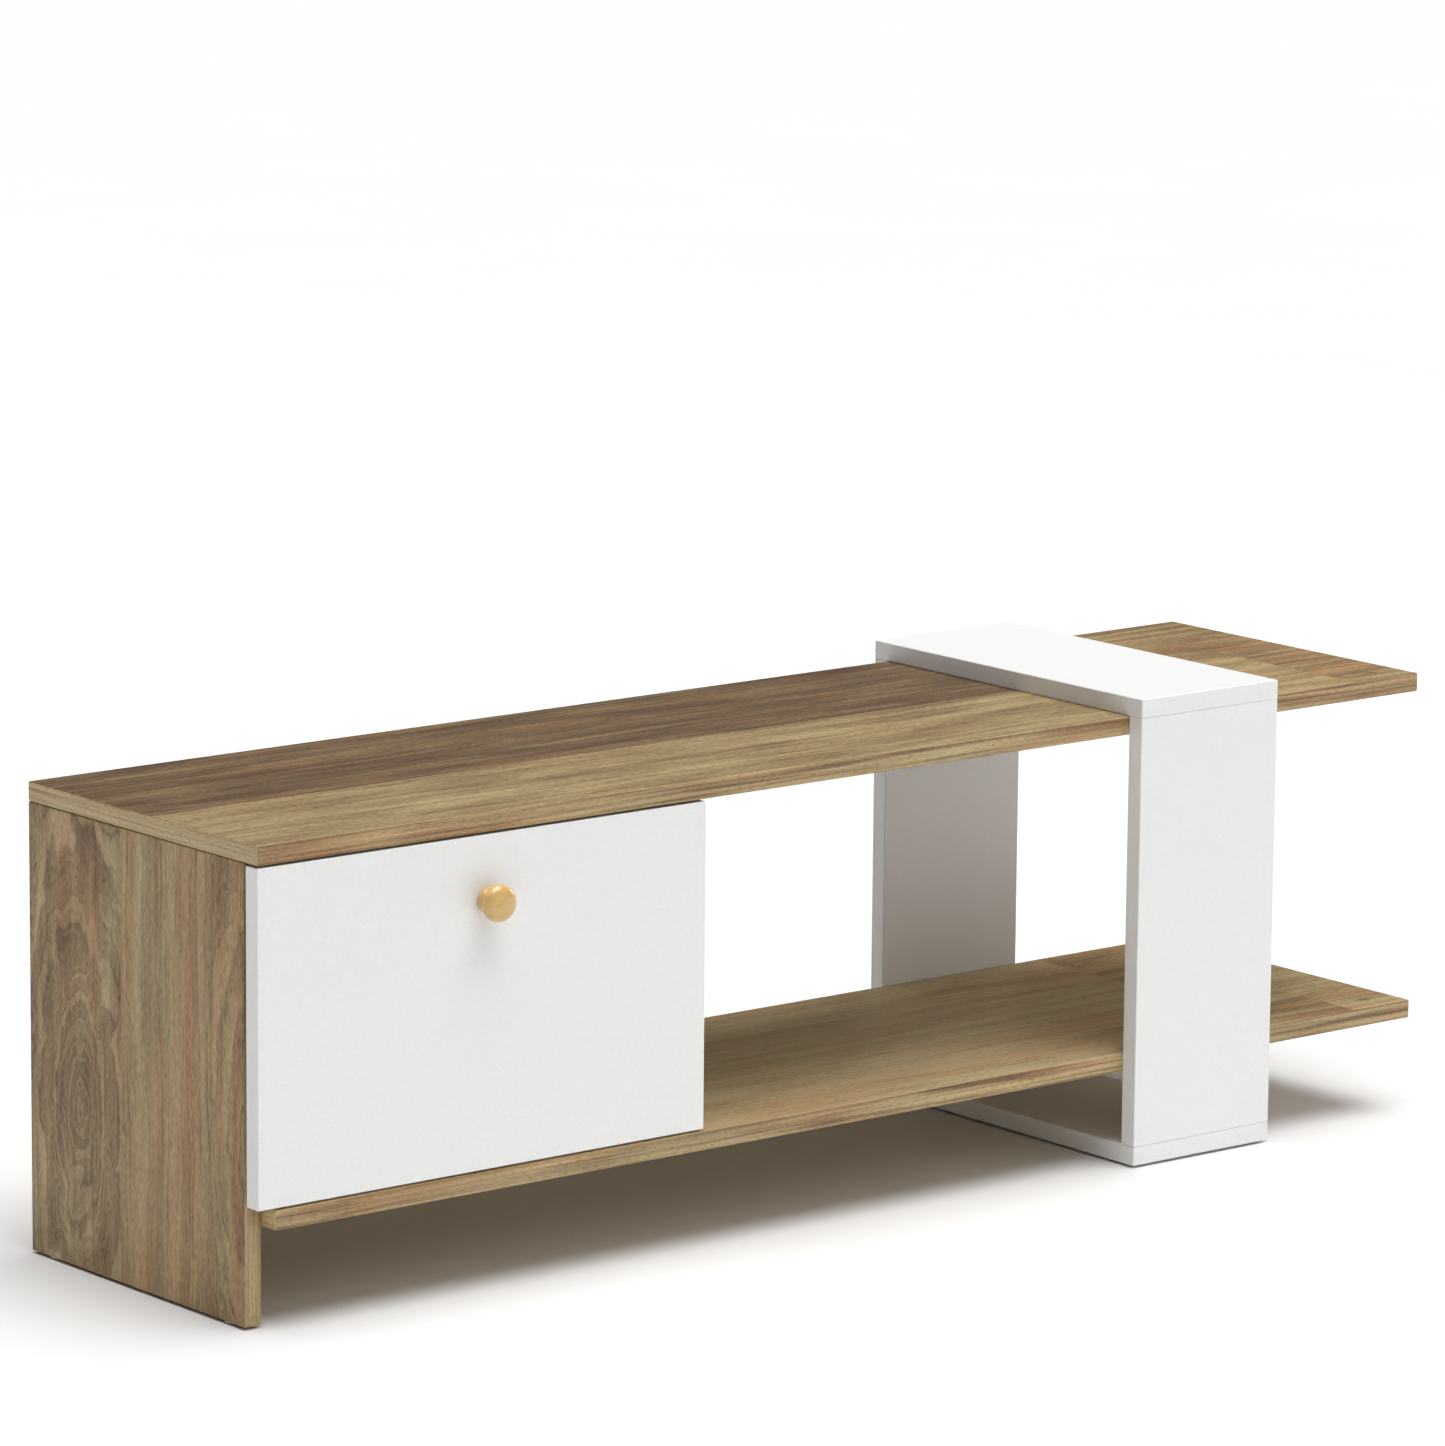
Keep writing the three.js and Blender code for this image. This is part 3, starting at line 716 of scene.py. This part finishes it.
@dataclass
class Board:
    """A laminated board: the CAD solid with its bores, its outer edges rounded and banded.

    Corner is the turn in radians from which an outer edge is rounded, and crease the turn in
    degrees from which any edge stays crisp.
    """

    node: str
    edge_radius: float
    body: str = "stand"
    slot: str = "wood_print_board"
    segments: int = 4
    corner: float = 1.0
    crease: float = 25.0

    def __post_init__(self) -> None:
        """Reads the board's box from the frame."""
        self.low, self.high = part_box(self.node)
        self.centre = tuple((a + b) / 2 for a, b in zip(self.low, self.high))
        self.thin = min(range(3), key=lambda i: self.high[i] - self.low[i])

    def walls(self, point: Vector) -> int:
        """How many of the box's sides a point lies on."""
        gaps = (min(abs(p - a), abs(p - b)) for p, a, b in zip(point, self.low, self.high))
        return sum(gap < TOUCH_WITHIN for gap in gaps)

    def band(self, face: Face) -> int | None:
        """Axis that a face's edge band runs along, or nothing on a broad face."""
        sizes = [abs(c) for c in face.normal]
        looks = sizes.index(max(sizes))
        return None if looks == self.thin else ({0, 1, 2} - {looks, self.thin}).pop()

    def build(self, finishes: list[Finish], choose: Callable[[Face], int] | None = None) -> Piece:
        """Builds the board.

        Args:
            finishes: its finishes.
            choose: gives each face the number of its finish.

        Returns:
            The board.
        """
        bm = cad_copy(self.node)
        outer = [
            edge
            for edge in bm.edges
            if all(self.walls(v.co) >= 2 for v in edge.verts)
            and self.walls((edge.verts[0].co + edge.verts[1].co) / 2) >= 2
            and edge.calc_face_angle(0.0) > self.corner
        ]
        round_edges(bm, outer, self.edge_radius, self.segments)
        name, replaced = f"{self.node}_laminated", (self.node,)
        return finish_piece(
            bm, name, self.body, self.slot, finishes, choose, replaced, self.crease
        )


@dataclass
class WoodBoards:
    """The wood-effect boards: printed faces, and a thick printed band along every edge.

    Planks are given in metres from each board's middle. Far is past every edge, and the joint is
    where the long boards' two planks meet. Band tones are for bands along X, Y and Z.
    """

    edge_radius: float = 1.8 * MM
    far: float = 2.0
    joint: float = -0.008
    band_tones: Triple = (0.65, 1.0, 0.74)
    band_seed: float = 8.0
    board_seed_step: float = 10.0

    def bands(self) -> list[Finish]:
        """Makes the finishes of the edge bands.

        Returns:
            One finish for each axis that an edge can run along.
        """
        everywhere = (-self.far, self.far)
        return [
            WoodPrint(
                f"wood_print_edge_{way.name.lower()}",
                way,
                planks=(Plank(everywhere, everywhere, (0.0, -3.0), 0.0, tone, 0.9),),
                seed=self.band_seed,
                ring_step=5.0 * MM,
                streak_step=4.0 * MM,
                wander=3.0 * MM,
                lines=0.05,
                streaks=1.4,
                fibres=0.35,
            )
            for way, tone in zip(Grain, self.band_tones)
        ]

    def charts(self) -> dict[str, tuple[Grain, tuple[Plank, ...], tuple[Pair, ...]]]:
        """Charts each board's face print. A later plank lies over the earlier ones.

        Returns:
            CAD node to its grain, its planks and its knots' places.
        """
        far, joint = self.far, self.joint
        upright = (
            Plank((-far, far), (0.03, far), (-0.065, 0.11), 0.34, 0.5, 0.95),
            Plank((-far, far), (-0.11, 0.03), (0.9, -0.5), 0.03, 0.64, 0.9),
            Plank((-far, far), (-far, -0.11), (-0.04, -0.15), 0.3, 0.5, 1.0),
        )
        top = (
            Plank((-far, far), (joint, far), (0.9, 0.35), 0.05, 0.0, 0.6),
            Plank((-far, far), (-far, joint), (-1.2, -0.42), 0.03, 0.5, 0.12),
            Plank((0.42, far), (0.0, far), (0.2, 0.28), 0.08, 0.4, 0.7),
            Plank((0.42, far), (-far, 0.0), (0.8, -0.3), 0.06, 0.62, 0.5),
            Plank((0.6, far), (-far, 0.08), (0.75, 0.16), 0.09, 0.48, 0.9),
        )
        # The shelf's two main planks carry painted light: their tones are raised to about 1 to
        # lighten the shade that falls on the shelf under the top board.
        shelf = (
            Plank((-far, 0.5), (joint, far), (0.4, 0.3), 0.04, 0.98, 0.8),
            Plank((-far, 0.5), (-far, joint), (-0.9, -0.3), 0.04, 1.02, 0.8),
            Plank((0.5, far), (-far, far), (0.6, 0.16), 0.09, 0.68, 0.9),
            Plank((0.42, 0.6), (-far, -0.05), (0.1, -0.3), 0.05, 0.5, 1.0),
        )
        return {
            "top_board": (Grain.ALONG_X, top, ((0.646, -0.139),)),
            "lower_shelf": (Grain.ALONG_X, shelf, ((0.64, -0.139),)),
            "left_side_panel": (Grain.ALONG_Z, upright, ()),
            "divider_panel": (Grain.ALONG_Z, upright, ()),
        }

    def build(self) -> None:
        """Builds every wood-effect board."""
        bands = self.bands()
        for number, (node, (grain, planks, knots)) in enumerate(self.charts().items()):
            board = Board(node, self.edge_radius)
            seed = self.board_seed_step * number
            face_print = WoodPrint(f"wood_print_{node}", grain, board.centre, planks, knots, seed)

            def choose(face: Face, board: Board = board) -> int:
                """Face print on the broad faces, and the band that runs along each edge."""
                way = board.band(face)
                return 0 if way is None else 1 + way

            board.build([face_print, *bands], choose)


@dataclass
class WhiteBoards:
    """The white ring and the flap door: melamine board with crisp white bands."""

    edge_radius: float = 1.1 * MM
    ring: tuple[str, ...] = (
        "frame_top_board",
        "frame_base_board",
        "frame_front_upright",
        "frame_rear_upright",
    )

    def build(self) -> None:
        """Builds the ring's boards and the door."""
        melamine = WhiteMelamine()
        for node in self.ring:
            Board(node, self.edge_radius, slot="white_board").build([melamine])
        Board("door_panel", self.edge_radius, "door", "white_board").build([melamine])


@dataclass
class BackPanel:
    """The closed compartment's back: lacquered inside, bare fibre behind."""

    node: str = "compartment_back_panel"

    def build(self) -> None:
        """Builds the panel."""
        bm = cad_copy(self.node)
        finish_piece(
            bm,
            "compartment_back_panel_hardboard",
            "stand",
            "hardboard",
            [Hardboard(), WhiteLacquer()],
            lambda face: int(face.normal.y < -0.5),
            (self.node,),
        )


@dataclass
class TurnedKnob:
    """The door's turned knob: a domed head on a waisted foot, spun from its outline.

    Shares are of the knob's reach. Crown is how square the dome's outline is, 2 being an oval, and
    the foot's outline ends at an angle in degrees.
    """

    node: str = "door_knob"
    steps: int = 96
    arc_steps: int = 12
    oval: float = 2.0
    crown: float = 2.4
    rim_share: float = 0.63
    waist: float = 8.5 * MM
    waist_share: float = 0.35
    foot_radius: float = 12.0 * MM
    foot_bulge: float = 3.4 * MM
    foot_height: float = 7.5 * MM
    foot_end: float = 56.0
    crease: float = 50.0

    def arc(self, centre: Pair, radii: Pair, start: float, end: float, power: float) -> list[Pair]:
        """Points on an oval arc.

        Args:
            centre: radius and depth of the oval's middle.
            radii: its size along the radius and the depth.
            start: first angle in degrees.
            end: last angle in degrees.
            power: 2 for an oval, more for a squarer one.

        Returns:
            Radius and depth of each point.
        """
        points = []
        for i in range(self.arc_steps + 1):
            angle = math.radians(start + (end - start) * i / self.arc_steps)
            ways = (math.cos(angle), math.sin(angle))
            out, down = (math.copysign(abs(way) ** (2 / power), way) for way in ways)
            points.append((centre[0] + radii[0] * out, centre[1] + radii[1] * down))
        return points

    def build(self) -> None:
        """Builds the knob."""
        low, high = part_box(self.node)
        reach = high[1] - low[1]
        radius = (high[0] - low[0]) / 2
        rim = -reach * self.rim_share
        waist_at = -reach * self.waist_share
        neck = (radius - self.waist, waist_at - rim)
        foot = (self.foot_radius - self.waist, self.foot_height - self.foot_bulge)
        outline = [
            *self.arc((0.0, rim), (radius, reach + rim), -90.0, 0.0, self.crown),
            *self.arc((self.waist, rim), neck, 0.0, 90.0, self.oval)[1:],
            *self.arc((self.waist, -self.foot_bulge), foot, -90.0, self.foot_end, self.oval),
        ]
        bm = bmesh.new()
        middle = Vector(((low[0] + high[0]) / 2, high[1], (low[2] + high[2]) / 2))
        points = [bm.verts.new(middle + Vector((r, depth, 0.0))) for r, depth in outline]
        edges = [bm.edges.new(pair) for pair in zip(points, points[1:])]
        bmesh.ops.spin(
            bm,
            geom=points + edges,
            cent=middle,
            axis=(0.0, 1.0, 0.0),
            angle=math.tau,
            steps=self.steps,
            use_merge=True,
        )
        bmesh.ops.remove_doubles(bm, verts=bm.verts, dist=MERGE_WITHIN)
        bmesh.ops.holes_fill(bm, edges=[e for e in bm.edges if e.is_boundary])
        bmesh.ops.recalc_face_normals(bm, faces=bm.faces)
        finish_piece(
            bm,
            "door_knob_turned",
            "door",
            "lacquered_wood",
            [LacqueredBeech()],
            replaced=(self.node,),
            crease=self.crease,
        )


@dataclass(frozen=True)
class FittingKind:
    """A kind of small fitting: the ends of its nodes' names, its slot, finish and edge radius."""

    endings: tuple[str, ...]
    slot: str
    finish: Finish
    radius: float = 0.15 * MM


@dataclass
class Fittings:
    """Screws, cams, hinges, glides and bumpers: the CAD solids with softened edges.

    Corner is the turn in degrees from which an edge is softened, and crease the turn in degrees
    from which it stays crisp. The first kind that fits a node's name is the one taken.
    """

    corner: float = 35.0
    crease: float = 30.0
    segments: int = 2
    kinds: tuple[FittingKind, ...] = (
        FittingKind(("_cup", "_arm", "_mounting_plate"), "nickel_steel", NICKEL_PLATE, 0.25 * MM),
        FittingKind(("_link",), "nickel_steel", NICKEL_PLATE, 0.2 * MM),
        FittingKind(("_screw", "_screw_a", "_screw_b", "_pin"), "zinc_plated_steel", ZINC_PLATE),
        FittingKind(("glide",), "white_plastic", WHITE_PLASTIC, 0.3 * MM),
        FittingKind(("bumper",), "clear_plastic", CLEAR_PLASTIC, 0.8 * MM),
        FittingKind(("cam_bolt",), "zinc_plated_steel", ZINC_PLATE),
        FittingKind(("cam",), "die_cast_zinc", CAST_ZINC, 0.3 * MM),
    )

    def kind_of(self, node: str) -> FittingKind | None:
        """Finds the kind that a node's name starts or ends with.

        Args:
            node: CAD node's name.

        Returns:
            Its kind, or nothing for a piece that is built elsewhere.
        """
        for kind in self.kinds:
            if node.endswith(kind.endings) or node.startswith(kind.endings):
                return kind
        return None

    def build(self) -> None:
        """Builds every small fitting."""
        for body, nodes in FRAME["record"]["behaviour"]["bodies"].items():
            for node in nodes:
                kind = self.kind_of(node)
                if kind:
                    self.soften(node, body, kind)

    def soften(self, node: str, body: str, kind: FittingKind) -> None:
        """Builds one fitting.

        Args:
            node: CAD node to stand for.
            body: CAD body that it rides on.
            kind: what it is.
        """
        bm = cad_copy(node)
        sharp = [e for e in bm.edges if e.calc_face_angle(0.0) > math.radians(self.corner)]
        round_edges(bm, sharp, kind.radius, self.segments)
        finish_piece(
            bm,
            f"{node}_finished",
            body,
            kind.slot,
            [kind.finish],
            replaced=(node,),
            crease=self.crease,
        )


@dataclass
class CoverCaps:
    """Push-in caps over the screws that hold the divider to the shelf.

    Corner is the turn in radians from which the rim's edges are rounded.
    """

    radius: float = 6.0 * MM
    proud: float = 1.0 * MM
    from_edge: float = 60.0 * MM
    rim_radius: float = 0.3 * MM
    rim_segments: int = 3
    corner: float = 0.5
    sides: int = 48

    def build(self) -> None:
        """Builds the caps under the shelf."""
        low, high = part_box("divider_panel")
        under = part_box("lower_shelf")[0][2]
        middle = (low[0] + high[0]) / 2
        for name, y in (("front", low[1] + self.from_edge), ("rear", high[1] - self.from_edge)):
            bm = bmesh.new()
            place = Matrix.Translation((middle, y, under - self.proud / 2))
            bmesh.ops.create_cone(
                bm,
                cap_ends=True,
                segments=self.sides,
                radius1=self.radius - self.proud / 2,
                radius2=self.radius,
                depth=self.proud,
                matrix=place,
            )
            rim = [e for e in bm.edges if e.calc_face_angle(0.0) > self.corner]
            round_edges(bm, rim, self.rim_radius, self.rim_segments)
            finish_piece(bm, f"divider_screw_cap_{name}", "stand", "white_plastic", [BROWN_PLASTIC])


# ---------------------------------------------------------------- studio


@dataclass(frozen=True)
class MattFloor(Finish):
    """White studio floor, rolled matt paint: even, with a very faint cloudiness."""

    name: str = "matt_white_floor_paint"

    def paint(self, tree: Tree) -> dict[str, Any]:
        """Adds the floor's nodes.

        Args:
            tree: node tree to add to.

        Returns:
            Input name to value or socket, for the surface shader.
        """
        coords = add(tree, "TexCoord", output=3)
        # Roller marks melt into clouds about half a metre wide.
        cloud = add(tree, "TexNoise", {"Vector": coords, "Scale": 2.0})
        return {
            "Base Color": add(tree, "ValToRGB", {0: cloud}, stops={0.0: "#eaeaea", 1.0: "#ececec"}),
            "Roughness": 0.9,
        }


@dataclass
class Studio:
    """Plain pale floor, soft light and the camera.

    Lengths are in metres and angles in degrees. The two softboxes give their way, strength and
    spread, and the side panel its place and size.
    """

    aim: Triple = (0.001, 0.049, 0.425)
    distance: float = 6.943
    azimuth: float = -38.97
    elevation: float = 10.89
    roll: float = 0.51
    lens: float = 186.5
    sensor: float = 36.0
    far_clip: float = 200.0
    floor_size: float = 60.0
    surround: float = 0.12
    overhead: tuple[Triple, float, float] = ((-0.05, 0.13, -1.0), 3.25, 50.0)
    front: tuple[Triple, float, float] = ((-0.1, 0.85, -0.5), 0.56, 75.0)
    lamp_height: float = 3.0
    panel_place: Triple = (3.8, -0.1, 1.3)
    panel_aim: Triple = (0.0, 0.0, 0.3)
    panel_size: Pair = (0.9, 1.2)
    panel_watts: float = 36.0

    def build(self) -> None:
        """Builds the floor, the lights and the camera."""
        self.floor()
        self.light()
        self.camera()

    def floor(self) -> None:
        """Adds the floor."""
        bm = bmesh.new()
        bmesh.ops.create_grid(bm, x_segments=1, y_segments=1, size=self.floor_size / 2)
        mesh = bpy.data.meshes.new("studio_floor")
        bm.to_mesh(mesh)
        bm.free()
        mesh.materials.append(MattFloor().make())
        floor = bpy.data.objects.new("studio_floor", mesh)
        bpy.context.scene.collection.objects.link(floor)

    def light(self) -> None:
        """Adds an even surround, soft light from above and the front, and a small side panel."""
        scene = bpy.context.scene
        world = bpy.data.worlds.new("studio_surround")
        world.use_nodes = True
        tree = world.node_tree
        tree.nodes.clear()
        # The surround lights softly, but looks white past the floor's edge.
        seen = add(tree, "LightPath", output=0)
        glow = add(tree, "MapRange", {0: seen, 3: self.surround, 4: 1.0})
        glow = add(tree, "Background", {0: WHITE, 1: glow})
        add(tree, "OutputWorld", {"Surface": glow})
        scene.world = world
        scene.view_settings.view_transform = "Standard"
        suns = {"overhead_softbox": self.overhead, "front_softbox": self.front}
        for name, (way, energy, spread) in suns.items():
            data = bpy.data.lights.new(name, "SUN")
            data.energy = energy
            data.angle = math.radians(spread)
            self.place(name, data, Vector((0.0, 0.0, self.lamp_height)), Vector(way))
        data = bpy.data.lights.new("side_softbox", "AREA")
        data.shape = "RECTANGLE"
        data.size, data.size_y = self.panel_size
        data.energy = self.panel_watts
        spot = Vector(self.panel_place)
        self.place("side_softbox", data, spot, Vector(self.panel_aim) - spot)

    def place(self, name: str, data: bpy.types.ID, spot: Vector, way: Vector) -> Piece:
        """Puts a lamp or a camera in the scene.

        Args:
            name: object name.
            data: lamp or camera.
            spot: where it stands.
            way: direction that it looks.

        Returns:
            The new object.
        """
        thing = bpy.data.objects.new(name, data)
        turn = way.to_track_quat("-Z", "Y").to_matrix().to_4x4()
        thing.matrix_world = Matrix.Translation(spot) @ turn
        bpy.context.scene.collection.objects.link(thing)
        return thing

    def camera(self) -> None:
        """Adds the camera and makes it the scene's."""
        data = bpy.data.cameras.new("camera")
        data.lens = self.lens
        data.sensor_width = self.sensor
        data.sensor_fit = "HORIZONTAL"
        data.clip_end = self.far_clip
        turn, tilt = math.radians(self.azimuth), math.radians(self.elevation)
        flat = math.cos(tilt)
        back = Vector((math.sin(turn) * flat, -math.cos(turn) * flat, math.sin(tilt)))
        camera = self.place("camera", data, Vector(self.aim) + back * self.distance, -back)
        camera.matrix_world = camera.matrix_world @ Matrix.Rotation(math.radians(self.roll), 4, "Z")
        bpy.context.scene.camera = camera


def main() -> None:
    """Builds every sub-assembly in order."""
    logging.basicConfig(level=logging.INFO, format="%(name)s: %(message)s")
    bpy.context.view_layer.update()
    Studio().build()
    for part in (WoodBoards(), WhiteBoards(), BackPanel(), TurnedKnob(), Fittings(), CoverCaps()):
        part.build()


if __name__ == "__main__":
    main()
